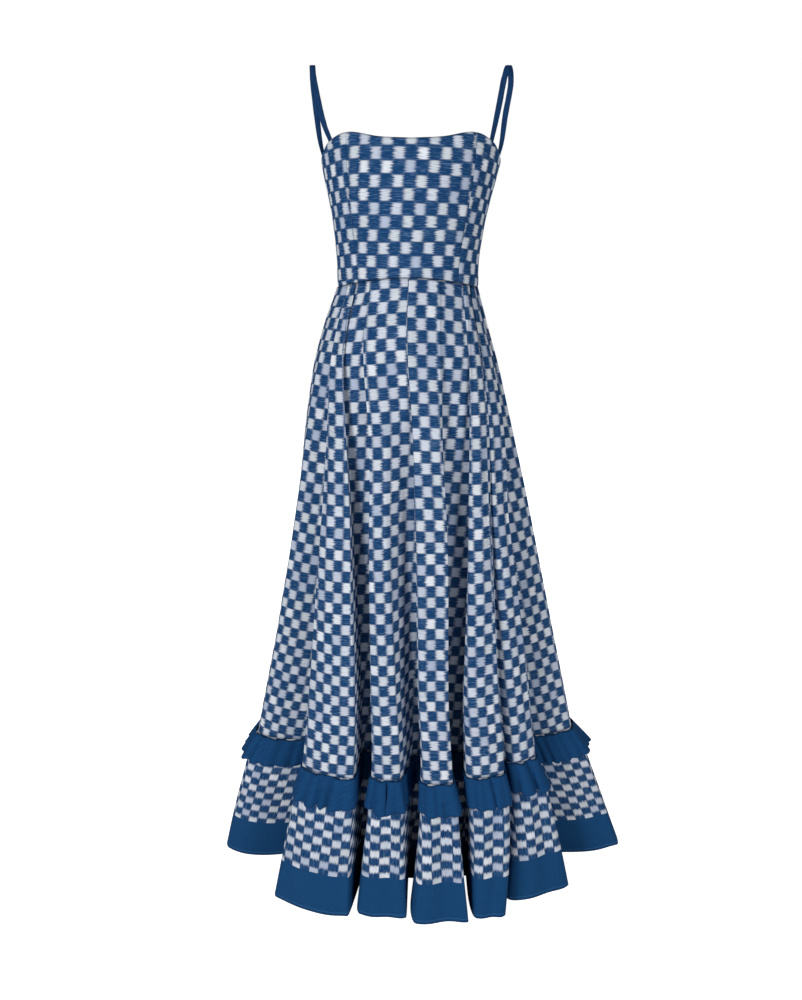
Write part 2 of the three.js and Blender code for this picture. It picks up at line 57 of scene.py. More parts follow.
# Smooth curve through one column of a table of sizes
def readTable(table, column, at, along="drop"):
    steps, sizes = table[along], table[column]
    last = len(steps) - 1
    row = 0
    while row < last - 1 and at > steps[row + 1]:
        row += 1

    def slope(k):
        before, after = max(k - 1, 0), min(k + 1, last)
        return (sizes[after] - sizes[before]) / (steps[after] - steps[before])

    span = steps[row + 1] - steps[row]
    t = min(max((at - steps[row]) / span, 0), 1)
    start = 2 * t**3 - 3 * t**2 + 1
    bend = (t**3 - 2 * t**2 + t) * slope(row) + (t**3 - t**2) * slope(row + 1)
    return start * sizes[row] + (1 - start) * sizes[row + 1] + bend * span


def blendTo(a, b, share):
    return a + (b - a) * share


def smoothRise(value, low, high):
    t = min(max((value - low) / (high - low), 0), 1)
    return t * t * (3 - 2 * t)


# A point of the plain oval section at an angle, and its outward direction
def ovalPoint(rings, angle, drop):
    turn = math.radians(angle)
    halfWidth = readTable(rings, "halfWidth", drop)
    depth = readTable(rings, "front" if math.cos(turn) > 0 else "back", drop)
    centre = readTable(rings, "centre", drop)
    point = Vector((centre + halfWidth * math.sin(turn), -depth * math.cos(turn), -drop))
    outward = Vector((depth * math.sin(turn), -halfWidth * math.cos(turn), 0)).normalized()
    return point, outward


def waistSeamDrop(angle):
    return dressForm["waistDrop"] + dressForm["waistSideDip"] * math.sin(math.radians(angle)) ** 2


# Materials


def linearColour(hexColour):
    channels = [int(hexColour[k:k + 2], 16) / 255 for k in (1, 3, 5)]
    return [c / 12.92 if c <= 0.04045 else ((c + 0.055) / 1.055) ** 2.4 for c in channels] + [1]


# Adds one node. Its inputs are numbers, hex colours, sockets, or nodes, which stand for the first
# output they use. Stops are a ramp's positions and colours, and settings the node's own properties
def addNode(tree, kind, inputs=(), stops=(), **settings):
    node = tree.nodes.new("ShaderNode" + kind)
    for name, value in settings.items():
        setattr(node, name, value)
    slots = inputs if isinstance(inputs, dict) else dict(enumerate(inputs))
    for slot, value in slots.items():
        if isinstance(value, bpy.types.Node):
            value = next(output for output in value.outputs if output.enabled)
        if isinstance(value, bpy.types.NodeSocket):
            tree.links.new(value, node.inputs[slot])
        else:
            node.inputs[slot].default_value = linearColour(value) if isinstance(value, str) else value
    for k, (position, hexColour) in enumerate(stops):
        points = node.color_ramp.elements
        if k == len(points):
            points.new(position)
        points[k].position = position
        points[k].color = linearColour(hexColour)
    return node


def newMaterial(name, roughness):
    material = bpy.data.materials.new(name)
    material.use_nodes = True
    shader = material.node_tree.nodes["Principled BSDF"]
    shader.inputs["Roughness"].default_value = roughness
    return material, material.node_tree, shader


# Painted shade: the cloth's colour is darkened near its seams and edges, where shade falls. Its slubs stand
# up a little
def finishCotton(tree, shader, sizes, colour, slub):
    seam = addNode(tree, "Attribute", attribute_name="seam").outputs["Fac"]
    seamFrom, seamTo = sizes["seamFrom"] * mm, sizes["seamTo"] * mm
    # painted shade: the colour is mixed towards a dark blue close to a seam or edge
    near = addNode(tree, "MapRange", [seam, seamFrom, seamTo, sizes["seamShadeShare"], 0.0])
    seamShade = addNode(tree, "Mix", {0: near, 6: colour, 7: sizes["seamShadeBlue"]}, data_type="RGBA")
    tree.links.new(seamShade.outputs[2], shader.inputs["Base Color"])
    bump = addNode(tree, "Bump", {"Height": slub, "Strength": sizes["bump"], "Distance": 0.3 * mm})
    tree.links.new(bump.outputs[0], shader.inputs["Normal"])
    shader.inputs["Specular IOR Level"].default_value = 0.12  # loose threads scatter, with hardly any gloss


# Handwoven ikat cotton: the threads are dyed before weaving, so the squares' sides along the dyed
# threads are feathered and streaky, and the sides across them are crisp. Matte, a little uneven.
ikatCheck = {
    "squareWide": 16.2,
    "squareTall": 19.2,
    "whiteTones": [(0, "#b0bcd2"), (0.2, "#c8cedb"), (0.5, "#d5dce8"), (0.75, "#ccd3da"), (1, "#e8ecf4")],
    "blue": "#14406e",
    "blueInWhite": "#5b7da6",  # where the other colour shows through thin threads
    "whiteInBlue": "#7394bd",
    "borderBlue": "#124471",
    "borderSlub": "#235487",
    "hemStitch": "#3a6c9c",
    # painted shade near seams and edges: its dark blue, the distances it fades over, and its strength
    "seamShadeBlue": "#0b1f3c",
    "seamFrom": 0.3,
    "seamTo": 1.6,
    "seamShadeShare": 0.5,
    "wideGain": -0.2,  # how far a white square spreads over its blue neighbours, or shrinks if minus
    "tallGain": -0.07,
    "feather": 0.55,
    "threadJitter": 0.36,
    "threadLength": 30,
    "squareJog": 0.14,
    "streakPitch": 1.4,  # slubs in the weft, drawn about three threads wide so that they show
    "streakLength": 14,
    "borderTall": 86,
    "stitchUp": 7,
    "bump": 0.25,
}


def ikatCotton(name, sizes, turned=False):
    material, tree, shader = newMaterial(name, 0.88)
    uv = addNode(tree, "UVMap", uv_map="cloth")
    flat = addNode(tree, "SeparateXYZ", [uv])
    across, down = (flat.outputs[1], flat.outputs[0]) if turned else (flat.outputs[0], flat.outputs[1])
    x = addNode(tree, "Math", [across, sizes["squareWide"] * mm], operation="DIVIDE")
    y = addNode(tree, "Math", [down, sizes["squareTall"] * mm], operation="DIVIDE")

    # every thread lies a little off its neighbour, which feathers the sides of a square, and so does
    # every row and column of squares
    alongThread = addNode(tree, "Math", [across, sizes["threadLength"] * mm], operation="DIVIDE")
    threadCount = addNode(tree, "Math", [down, sizes["streakPitch"] * mm], operation="DIVIDE")
    threads = addNode(tree, "CombineXYZ", [alongThread, threadCount])
    threadOff = addNode(tree, "TexNoise", {"Vector": threads, "Scale": 1.0, "Detail": 1.0})
    row = addNode(tree, "Math", [y], operation="FLOOR")
    rowOff = addNode(tree, "TexWhiteNoise", {"W": row}, noise_dimensions="1D")
    for off, size in ((threadOff, sizes["threadJitter"] * 2), (rowOff, sizes["squareJog"])):
        centred = addNode(tree, "Math", [off, 0.5], operation="SUBTRACT")
        x = addNode(tree, "Math", [centred, size, x], operation="MULTIPLY_ADD")
    column = addNode(tree, "Math", [x], operation="FLOOR")
    columnOff = addNode(tree, "TexWhiteNoise", {"W": column}, noise_dimensions="1D")
    centred = addNode(tree, "Math", [columnOff, 0.5], operation="SUBTRACT")
    y = addNode(tree, "Math", [centred, sizes["squareJog"], y], operation="MULTIPLY_ADD")

    # signs of two waves make the check, and blue wins a little more than its own square
    turnX = addNode(tree, "Math", [x, math.pi], operation="MULTIPLY")
    turnY = addNode(tree, "Math", [y, math.pi], operation="MULTIPLY")
    waveX = addNode(tree, "Math", [turnX], operation="SINE")
    waveY = addNode(tree, "Math", [turnY], operation="SINE")
    side = addNode(tree, "Math", [waveX], operation="SIGN")
    level = addNode(tree, "Math", [side, sizes["tallGain"], waveY], operation="MULTIPLY_ADD")
    crisp = addNode(tree, "MapRange", [level, -0.3, 0.3, -1.0, 1.0])
    check = addNode(tree, "Math", [waveX, crisp, sizes["wideGain"]], operation="MULTIPLY_ADD")
    white = addNode(tree, "MapRange", [check, -sizes["feather"], sizes["feather"]],
                    interpolation_type="SMOOTHSTEP")

    # each white square has kept a little of the dye, and every thread is uneven along its length
    squareRow = addNode(tree, "Math", [y], operation="FLOOR")
    square = addNode(tree, "CombineXYZ", [column, squareRow])
    squareTone = addNode(tree, "TexWhiteNoise", {"Vector": square}, noise_dimensions="3D")
    alongStreak = addNode(tree, "Math", [across, sizes["streakLength"] * mm], operation="DIVIDE")
    streakAt = addNode(tree, "CombineXYZ", [alongStreak, threadCount, squareTone])
    streak = addNode(tree, "TexNoise", {"Vector": streakAt, "Scale": 1.0, "Detail": 2.0})
    whiteTone = addNode(tree, "ValToRGB", [squareTone], stops=sizes["whiteTones"])
    thinWhite = addNode(tree, "MapRange", [streak, 0.52, 0.8, 0.0, 0.5])
    thinBlue = addNode(tree, "MapRange", [streak, 0.5, 0.82, 0.0, 0.6])
    whiteCloth = addNode(tree, "Mix", {0: thinWhite, 6: whiteTone, 7: sizes["blueInWhite"]}, data_type="RGBA")
    blueCloth = addNode(tree, "Mix", {0: thinBlue, 6: sizes["blue"], 7: sizes["whiteInBlue"]},
                        data_type="RGBA")
    colour = addNode(tree, "Mix", {0: white, 6: blueCloth, 7: whiteCloth}, data_type="RGBA")

    if turned:  # the woven border below the check, with its row of hem stitches
        inBorder = addNode(tree, "Math", [across, -sizes["borderTall"] * mm], operation="GREATER_THAN")
        mottle = addNode(tree, "MapRange", [streak, 0.3, 0.8, 0.0, 0.35])
        plain = addNode(tree, "Mix", {0: mottle, 6: sizes["borderBlue"], 7: sizes["borderSlub"]},
                        data_type="RGBA")
        aboveHem = addNode(tree, "Math", [across, sizes["stitchUp"] * mm], operation="ADD")
        stitchOff = addNode(tree, "Math", [aboveHem], operation="ABSOLUTE")
        stitch = addNode(tree, "MapRange", [stitchOff, 0.4 * mm, 1.1 * mm, 0.6, 0.0])
        border = addNode(tree, "Mix", {0: stitch, 6: plain, 7: sizes["hemStitch"]}, data_type="RGBA")
        colour = addNode(tree, "Mix", {0: inBorder, 6: colour, 7: border}, data_type="RGBA")

    finishCotton(tree, shader, sizes, colour, streak)
    return material


# Plain woven cotton, piece-dyed: even and matte, with faint slubs
plainCotton = {
    "tones": [(0.25, "#0f3862"), (0.55, "#144676"), (0.85, "#1d5489")],
    # painted shade near seams and edges: its dark blue, the distances it fades over, and its strength
    "seamShadeBlue": "#0b1f3c",
    "seamFrom": 0.4,
    "seamTo": 2.0,
    "seamShadeShare": 0.6,
    "slub": 1.6,
    "slubLength": 18,
    "bump": 0.3,
}


def dyedCotton(name, sizes):
    material, tree, shader = newMaterial(name, 0.86)
    uv = addNode(tree, "UVMap", uv_map="cloth")
    threads = addNode(tree, "Mapping", {
        "Vector": uv,
        "Scale": (1 / (sizes["slub"] * mm), 1 / (sizes["slubLength"] * mm), 1),
    })
    slub = addNode(tree, "TexNoise", {"Vector": threads, "Scale": 1.0, "Detail": 3.0})
    colour = addNode(tree, "ValToRGB", [slub], stops=sizes["tones"])
    finishCotton(tree, shader, sizes, colour, slub)
    return material


# Lacquered zinc casting: a thin coloured coat with soft highlights over metal
def lacqueredZinc(name, hexColour):
    material, tree, shader = newMaterial(name, 0.38)
    shader.inputs["Metallic"].default_value = 0.6
    where = addNode(tree, "TexCoord").outputs["Object"]
    wear = addNode(tree, "TexNoise", {"Vector": where, "Scale": 900.0, "Detail": 2.0})
    colour = addNode(tree, "ValToRGB", [wear], stops=[(0.3, hexColour), (0.8, "#3d628f")])
    tree.links.new(colour.outputs[0], shader.inputs["Base Color"])
    return material


checkCotton = ikatCotton("handwovenIkatCotton", ikatCheck)
# the bodice's painted shade at its seams is fainter
bodiceCotton = ikatCotton("handwovenIkatCottonStretched", {
    **ikatCheck, "wideGain": -0.34, "tallGain": -0.12, "seamShadeShare": 0.35,
})
borderedCotton = ikatCotton("handwovenIkatCottonWithBorder", ikatCheck, turned=True)
blueCotton = dyedCotton("dyedPlainCotton", plainCotton)
strapCotton = dyedCotton("dyedPlainCottonFolded", {
    **plainCotton, "tones": [(0.25, "#112d52"), (0.6, "#183d69"), (0.9, "#1f4a7b")],
})
zipZinc = lacqueredZinc("lacqueredZinc", "#22456f")
print("materials made")


# Cloth


# Cloth from a grid: pointAt gives its place, sections say which column each stretch of pattern is
# measured from, seamAt how far a point lies from a seam, and lift how far it moves out along the
# cloth's own normal
def clothPiece(name, columns, rows, pointAt, material, sections=None, downFrom=None,
               lift=None, seamAt=None, wall=None, fromHem=False):
    points = {}
    for i in range(columns + 1):
        for j in range(rows + 1):
            points[i, j] = pointAt(i / columns, j / rows)
    acrossTo, downTo = {}, {}
    for j in range(rows + 1):
        run = 0
        for i in range(columns + 1):
            run += (points[i, j] - points[i - 1, j]).length if i else 0
            acrossTo[i, j] = run
    for i in range(columns + 1):
        run = downFrom(i / columns) if downFrom else 0
        for j in range(rows + 1):
            run += (points[i, j] - points[i, j - 1]).length if j else 0
            downTo[i, j] = run
    if fromHem:
        downTo = {(i, j): run - downTo[i, rows] for (i, j), run in downTo.items()}
    sections = sections or [{"start": 0, "end": columns, "anchor": 0, "across": 0, "down": 0}]

    bm = bmesh.new()
    bmesh.ops.create_grid(bm, x_segments=columns, y_segments=rows, size=0.5)
    uvLayer = bm.loops.layers.uv.new("cloth")
    seamLayer = bm.verts.layers.float.new("seam")
    place = {}
    for vert in bm.verts:
        place[vert] = (round((vert.co.x + 0.5) * columns), round((0.5 - vert.co.y) * rows))
    for vert in bm.verts:
        vert.co = points[place[vert]]
        i, j = place[vert]
        vert[seamLayer] = (seamAt(i, j, acrossTo, downTo) if seamAt else dressForm["noSeam"]) * mm
    for face in bm.faces:
        middle = sum(place[v][0] for v in face.verts) / 4
        section = next(s for s in sections if s["start"] <= middle <= s["end"])
        anchor = section["anchor"]
        base = section.get("across", acrossTo[anchor, rows])
        for loop in face.loops:
            i, j = place[loop.vert]
            u = acrossTo[i, j] - acrossTo[anchor, j] + base
            loop[uvLayer].uv = (u * mm, (downTo[i, j] + section["down"]) * mm)
        face.smooth = True
    if lift:
        bm.normal_update()
        moved = {}
        for vert in bm.verts:
            i, j = place[vert]
            moved[vert] = vert.co + vert.normal * lift(i / columns, j / rows)
        for vert, co in moved.items():
            vert.co = co
    bmesh.ops.scale(bm, vec=(mm, mm, mm), verts=bm.verts)
    area = sum(face.calc_area() for face in bm.faces)
    mesh = bpy.data.meshes.new(name)
    bm.to_mesh(mesh)
    bm.free()
    piece = bpy.data.objects.new(name, mesh)
    bpy.context.scene.collection.objects.link(piece)
    mesh.materials.append(material)
    thick = piece.modifiers.new("wall", "SOLIDIFY")
    thick.thickness = (wall or dressForm["wall"]) * mm
    thick.offset = -1
    bottom = max(acrossTo[columns, j] for j in (0, rows)) * mm
    tall = max(downTo[i, rows] - downTo[i, 0] for i in (0, columns // 2, columns)) * mm
    print(f"{name}: cut {bottom:.3f} x {tall:.3f} m, {area:.4f} m2 of cloth")
    return piece


def finishCloth(piece, sizes):
    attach(piece, "dress")
    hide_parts(sizes["node"])


# Bodice

bodice = {
    "rings": {
        "drop": [95, 131, 160, 190, 221, 251, 282, 330],
        "halfWidth": [149, 143, 137, 130, 124, 120, 117, 117],
        "front": [103, 109, 110, 106, 100, 94, 89, 86],
        "back": [92, 94, 94, 92, 89, 87, 86, 86],
        "centre": [0, 0, -1, -2, -3, -4, -5, -5],
    },
    "topEdge": {
        "angle": [0, 18, 40, 60, 72, 90, 130, 180],
        "drop": [112, 109.5, 101, 112, 124, 137, 141, 142],
    },
    "princess": {"drop": [100, 195, 255, 330], "angle": [40, 46, 45, 43]},
    "rows": 84,
    "edgeRoll": 1.6,
    "edgeReach": 3,
    "perDegree": 2,  # about how wide a degree is
    "panelTall": 200,
    "creaseFrom": 120,
    "creaseFall": 0.25,  # how much a crease runs down on its way across
    "leanFrom": 0.2,
}
princessWaist = readTable(bodice["princess"], "angle", dressForm["waistDrop"])


def topEdgeDrop(angle):
    return readTable(bodice["topEdge"], "drop", abs((angle + 180) % 360 - 180), along="angle")


# a place is the angle at the waist, bent to the princess seams higher up
def bodicePoint(place, share):
    level = blendTo(bodice["topEdge"]["drop"][0], dressForm["waistDrop"], share)
    seam = readTable(bodice["princess"], "angle", level)
    size = abs(place)
    angle = place
    if size <= princessWaist:
        angle = place * seam / princessWaist
    elif size < dressForm["sideAngle"]:
        toSide = (size - princessWaist) / (dressForm["sideAngle"] - princessWaist)
        angle = math.copysign(blendTo(seam, dressForm["sideAngle"], toSide), place)
    drop = blendTo(topEdgeDrop(angle), waistSeamDrop(angle), share)
    return ovalPoint(bodice["rings"], angle, drop)[0]


# The panels: where each starts and ends, how its pattern is laid, and its creases. A crease has its
# place across, its drop, how tall, deep and wide it is
bodicePanels = {
    "bodiceFront": {
        "node": "bodice_front", "start": -princessWaist, "end": princessWaist, "columns": 90,
        "anchor": 0.5, "across": 9, "down": 12, "columnsWide": 1.09, "slant": 0.03,
        "flat": (0.205, 0.218), "area": 0.0397,
        "creases": [(0.3, 150, 9, 0.7, 26), (0.36, 205, 7, 0.6, 30), (0.1, 285, 12, 0.7, 14)],
    },
    "sideFrontLeft": {
        "node": "side_front_left", "start": -90, "end": -princessWaist, "columns": 52,
        "anchor": 1.0, "across": 4, "down": 15, "slant": -0.1,
        "flat": (0.103, 0.217), "area": 0.0172,
        "creases": [(0.4, 200, 8, 0.7, 24), (0.7, 262, 8, 0.8, 16)],
    },
    "sideFrontRight": {
        "node": "side_front_right", "start": princessWaist, "end": 90, "columns": 52,
        "anchor": 0.0, "across": 9, "down": 3, "slant": 0.12,
        "flat": (0.103, 0.217), "area": 0.0172,
        "creases": [(0.5, 190, 8, 0.7, 22), (0.3, 258, 9, 0.8, 18)],
    },
    "bodiceBackRight": {
        "node": "bodice_back_right", "start": 90, "end": 180, "columns": 66,
        "anchor": 1.0, "across": 0, "down": 4, "slant": 0,
        "flat": (0.187, 0.19), "area": 0.03,
        "creases": [(0.4, 215, 10, 0.8, 30), (0.65, 275, 9, 0.9, 16)],
    },
    "bodiceBackLeft": {
        "node": "bodice_back_left", "start": -180, "end": -90, "columns": 66,
        "anchor": 0.0, "across": 0, "down": 4, "slant": 0,
        "flat": (0.187, 0.19), "area": 0.03,
        "creases": [(0.55, 205, 10, 0.8, 28), (0.3, 280, 10, 0.9, 18)],
    },
}


def bodicePanel(name, sizes):
    start, end, columns, rows = sizes["start"], sizes["end"], sizes["columns"], bodice["rows"]

    def pointAt(along, share):
        return bodicePoint(blendTo(start, end, along), share)

    def seamAt(i, j, acrossTo, downTo):
        toSide = min(acrossTo[i, j], acrossTo[columns, j] - acrossTo[i, j]) + 0.8
        toWaist = downTo[i, rows] - downTo[i, j]
        toTop = (downTo[i, j] - downTo[i, 0]) * 0.8
        return min(toSide, toWaist, toTop)

    def lift(along, share):
        width = (end - start) * bodice["perDegree"]
        toSeam = min(along, 1 - along) * width
        toWaist = (1 - share) * bodice["panelTall"]
        toTop = share * bodice["panelTall"]
        dip = dressForm["seamDip"] * (1 - smoothRise(min(toSeam, toWaist), 0, dressForm["seamReach"]))
        roll = bodice["edgeRoll"] * (1 - smoothRise(toTop, 0, bodice["edgeReach"])) ** 2
        crease = 0
        drop = blendTo(bodice["creaseFrom"], dressForm["waistDrop"], share)
        for where, level, tall, deep, wide in sizes["creases"]:  # soft drags across the cloth
            off = (along - where) * width
            fall = off * bodice["creaseFall"]
            crease += deep * math.exp(-((drop - level - fall) / tall) ** 2 - (off / wide) ** 2)
        return -dip - roll - crease

    piece = clothPiece(
        name, columns, rows, pointAt, bodiceCotton,
        sections=[{"start": 0, "end": columns, "anchor": round(sizes["anchor"] * columns),
                   "across": sizes["across"], "down": sizes["down"]}],
        downFrom=lambda along: -bodicePoint(blendTo(start, end, along), 0).z, lift=lift, seamAt=seamAt,
    )
    # the grain of a panel leans a little, and the front's squares are a little wider
    uvLayer = piece.data.uv_layers["cloth"]
    lean, middle = sizes["slant"], sizes["across"] * mm
    for loop in uvLayer.data:
        u, v = loop.uv
        u = middle + (u - middle) / sizes.get("columnsWide", 1)
        loop.uv = (u + lean * (v - bodice["leanFrom"]), v - lean * u)
    finishCloth(piece, sizes)


for panelName, panelSizes in bodicePanels.items():
    bodicePanel(panelName, panelSizes)
print("bodice made")


# Skirt and its folds

skirt = {
    "rings": {
        "drop": [300, 330, 379, 446, 515, 661, 817, 984, 1178],
        "halfWidth": [117, 119, 136, 157, 173, 204, 238, 274, 319],
        "front": [87, 91, 97, 104, 112, 127, 143, 160, 178],
        "back": [87, 90, 98, 108, 118, 136, 154, 173, 192],
        "centre": [-5, -6, -9, -9, -6, 1, 6, 9, 10],
    },
    "rows": 124,
    "stepsPerFold": 40,
    "pleatDepth": 3.2,
    "openingPower": 0.9,
    "reachSpeed": 3,
    "bottomHalfWidth": 0.9,  # half the angle that the bottom of a fold is wide
    "crestRound": 7,  # how far the sides of a crest lie inside its middle
    # stretches of a fold, as parts of the way from its bottom to the next one
    "bottomPart": 0.1,
    "lipPart": 0.26,
    "crestPart": 0.3,
    "spreadFrom": 0.18,
    "spreadTo": 0.73,
    "sinkFrom": 0.7,
    "sunkAt": 0.8,
    "crestMiddle": 0.5,
    "crestHalf": 0.22,
    "leastRoom": 0.06,  # how much of a ripple is left between two folds
    "panelTall": 870,
    "seamDipReach": 9,
    "calmWaist": 40,  # unevenness starts over this stretch
    "calmHem": 30,
    "unevenWidth": 130,
    "uneven": 1.6,
}

# Waist pleats that open into folds, round from the left front. lip is the angle of the crisp edge that
# overlaps the fold and run how far left of it the cloth starts to sink, both at shares of the length.
# reach says where in that run the bottom lies, and slant how much of the way to it the sinking side
# takes before it is deep. depth is how deep a fold is at the hem, start the share of the length where
# it opens, and setback how far its crest lies in.
foldLines = {
    "share": [0, 0.2, 0.35, 0.6, 0.75, 1],
    "lip": [
        [-56, -51, -50, -47, -45, -47.6], [-32, -22.4, -21.2, -18.4, -16.3, -19.6],
        [0.4, 1.6, 0.3, 0, 0.8, -4.6], [52, 35, 26.4, 18, 16.4, 11.8], [62, 50, 42, 36.6, 35.3, 23.2],
        [76, 80, 83, 84, 84, 84], [128, 128, 128, 127, 127, 127], [150, 150, 149, 148, 148, 148],
        [171, 170, 169, 168, 168, 168], [198, 198, 199, 200, 200, 200], [219, 219, 220, 221, 221, 221],
        [241, 241, 242, 242, 242, 242],
    ],
    "run": [
        [5, 20, 27, 32, 36, 37], [14, 12.8, 8.5, 5, 4.7, 0.6], [21, 14, 12.6, 7.8, 6.2, 0.4],
        [26, 17, 10.6, 6.2, 4.4, 0.6], [3, 3.2, 3.6, 4.2, 4.2, 1.8], [5, 16, 29, 32.5, 34.5, 38],
        [9, 12, 12, 9, 8, 4], [12, 12, 10, 8, 7, 3], [8, 10, 10, 8, 7, 3], [12, 12, 11, 9, 8, 3],
        [9, 12, 11, 9, 8, 4], [13, 13, 12, 10, 9, 4],
    ],
    "reach": [1.1, 1.1, 1.3, 1.6, 0.7, 0.1, 1.1, 1.2, 1.2, 1.1, 1.2, 1.1],
    "slant": [0.85, -0.4, 0.6, 0.1, 0.35, 0.3, 0.5, 0.6, 0.6, 0.5, 0.6, 0.5],
    "depth": [126, 118, 116, 118, 60, 126, 76, 70, 62, 68, 72, 72],
    "start": [0.1, 0.1, 0.12, 0.1, 0.2, 0.12, 0.2, 0.16, 0.24, 0.2, 0.14, 0.22],
    "setback": [3, 14, 0, 8, 34, 4, 6, 10, 0, 12, 4, 4],
}
foldCount = len(foldLines["lip"])


def foldOpening(index, share):
    start = foldLines["start"][index % foldCount]
    return min(max((share - start) / (1 - start), 0), 1) ** skirt["openingPower"]


# a fold's three angles at a share of the length: its bottom, its left edge and its lip
foldCache = {}


def foldEdges(index, share):
    key = (index, round(share, 4))
    if key not in foldCache:
        fold, turns = index % foldCount, 360 * (index // foldCount)
        lines = {"share": foldLines["share"], "lip": foldLines["lip"][fold], "run": foldLines["run"][fold]}
        lip, run = readTable(lines, "lip", share, "share"), readTable(lines, "run", share, "share")
        left = lip - run
        reach = blendTo(1, foldLines["reach"][fold], min(1, foldOpening(index, share) * skirt["reachSpeed"]))
        foldCache[key] = (left + run * reach + turns, left + turns, lip + turns)
    return foldCache[key]


# angle of a place counted in folds round the dress, fold bottoms on the whole numbers
def foldAngle(place, share):
    index = math.floor(place)
    part = place - index
    bottom, _, lip = foldEdges(index, share)
    nextBottom, nextLeft, _ = foldEdges(index + 1, share)
    half, bottomPart, sunkAt = skirt["bottomHalfWidth"], skirt["bottomPart"], skirt["sunkAt"]
    along = min(1, part / bottomPart) + max(0, 1 - (1 - part) / bottomPart)
    slant = foldLines["slant"][(index + 1) % foldCount]
    rise = smoothRise(part, bottomPart, skirt["lipPart"])
    spread = smoothRise(part, skirt["spreadFrom"], skirt["spreadTo"])
    sink = smoothRise(part, skirt["sinkFrom"], sunkAt) * slant
    sink += smoothRise(part, sunkAt, 1 - bottomPart) * (1 - slant)
    return (bottom + half * along + (lip - bottom - half) * rise
            + (nextLeft - lip) * spread + (nextBottom - half - nextLeft) * sink)


def lengthShare(drop):
    return min(max((drop - dressForm["waistDrop"]) / (dressForm["hemDrop"] - dressForm["waistDrop"]), 0), 1)


def foldedPoint(rings, place, drop):
    share = lengthShare(drop)
    index = math.floor(place)
    part = place - index
    before, after = index % foldCount, (index + 1) % foldCount
    rounded = skirt["crestRound"] * min(1, ((part - skirt["crestMiddle"]) / skirt["crestHalf"]) ** 2)
    crest = (foldLines["setback"][before] + rounded) * foldOpening(before, share)
    inward = crest
    rising = 1 - smoothRise(part, skirt["bottomPart"], skirt["crestPart"])
    sinking = smoothRise(part, skirt["sinkFrom"], skirt["sunkAt"])
    for fold, near in ((before, rising), (after, sinking)):
        deep = blendTo(skirt["pleatDepth"], foldLines["depth"][fold], foldOpening(fold, share))
        inward += (deep - crest) * near
    point, outward = ovalPoint(rings, foldAngle(place, share), drop)
    return point - outward * inward


# how much room for ripples there is, one on a crest
def crestRoom(place):
    crest = (1 - math.cos(2 * math.pi * place)) / 2
    return blendTo(skirt["leastRoom"], 1, crest**2)


def skirtPoint(place, down):
    level = blendTo(dressForm["waistDrop"], dressForm["ruffleSeamDrop"], down)
    top = waistSeamDrop(foldAngle(place, lengthShare(level))) + dressForm["seamGap"]
    return foldedPoint(skirt["rings"], place, blendTo(top, dressForm["ruffleSeamDrop"], down))


# soft troughs and ridges down the skirt: place in folds, width in folds, depth, and the drops
# where each starts and ends; a ridge has a minus depth
skirtCreases = [
    (-0.42, 0.07, 2.2, 330, 900), (-0.24, 0.05, 1.5, 420, 1120), (0.32, 0.07, 2.6, 330, 760),
    (0.62, 0.08, 3.0, 640, 1178), (0.44, 0.05, -1.6, 500, 980), (0.8, 0.05, 1.6, 330, 640),
    (1.32, 0.07, 1.8, 330, 700), (1.62, 0.09, 2.4, 520, 1178), (1.45, 0.05, -1.2, 700, 1100),
    (2.34, 0.06, 1.5, 330, 640), (2.5, 0.1, 2.6, 700, 1178), (2.7, 0.05, 1.4, 420, 900),
    (3.36, 0.07, 2.0, 330, 760), (3.6, 0.08, 2.6, 560, 1178), (3.5, 0.05, -1.2, 400, 800),
    (4.4, 0.06, 1.8, 330, 700), (4.6, 0.1, 3.0, 600, 1178), (4.26, 0.05, 1.2, 800, 1178),
    (5.26, 0.05, 1.5, 420, 1120), (5.42, 0.08, 2.4, 330, 900), (5.66, 0.09, 2.2, 500, 1178),
    (6.4, 0.08, 2.4, 330, 820), (6.62, 0.09, 2.8, 620, 1178), (7.36, 0.06, 2.0, 330, 700),
    (7.55, 0.09, 2.6, 560, 1178), (8.3, 0.06, 1.6, 330, 620), (8.68, 0.08, 2.4, 640, 1178),
    (9.35, 0.07, 2.2, 330, 760), (9.6, 0.09, 2.6, 600, 1178), (10.38, 0.06, 1.8, 330, 680),
    (10.6, 0.09, 3.0, 580, 1178), (11.3, 0.07, 2.2, 420, 1060), (11.44, 0.05, -1.4, 500, 1178),
]


def creaseDepth(creases, place, drop):
    deep = 0
    for where, wide, size, top, bottom in creases:
        off = place - where - 0.03 * math.sin(drop / 90 + where * 7)
        if abs(off) < wide * 2.5:
            fade = smoothRise(drop, top, top + 60) * (1 - smoothRise(drop, bottom - 90, bottom + 1))
            deep += size * fade * math.exp(-(off / wide) ** 2)
    return deep


# a little unevenness everywhere, longer down the cloth than across it
def handWoven(point, size):
    return size * noise.noise(Vector((point.x / 42, point.y / 42, point.z / 150)))


# Places between two seams, spread half by the way along the cloth and half by its folds
def evenPlaces(start, end, columns, pointAt):
    fine = columns * 8  # short steps to measure the cloth by
    runs, last = [0], pointAt(start)
    for k in range(1, fine + 1):
        point = pointAt(blendTo(start, end, k / fine))
        runs.append(runs[-1] + (point - last).length)
        last = point
    measure = [0.5 * run / runs[-1] + 0.5 * k / fine for k, run in enumerate(runs)]
    places, k = [], 0
    for i in range(columns + 1):
        while k < fine - 1 and measure[k + 1] < i / columns:
            k += 1
        part = (i / columns - measure[k]) / (measure[k + 1] - measure[k])
        places.append(blendTo(start, end, (k + part) / fine))
    return places


def columnNear(places, wanted):
    return min(range(len(places)), key=lambda i: abs(places[i] - wanted))


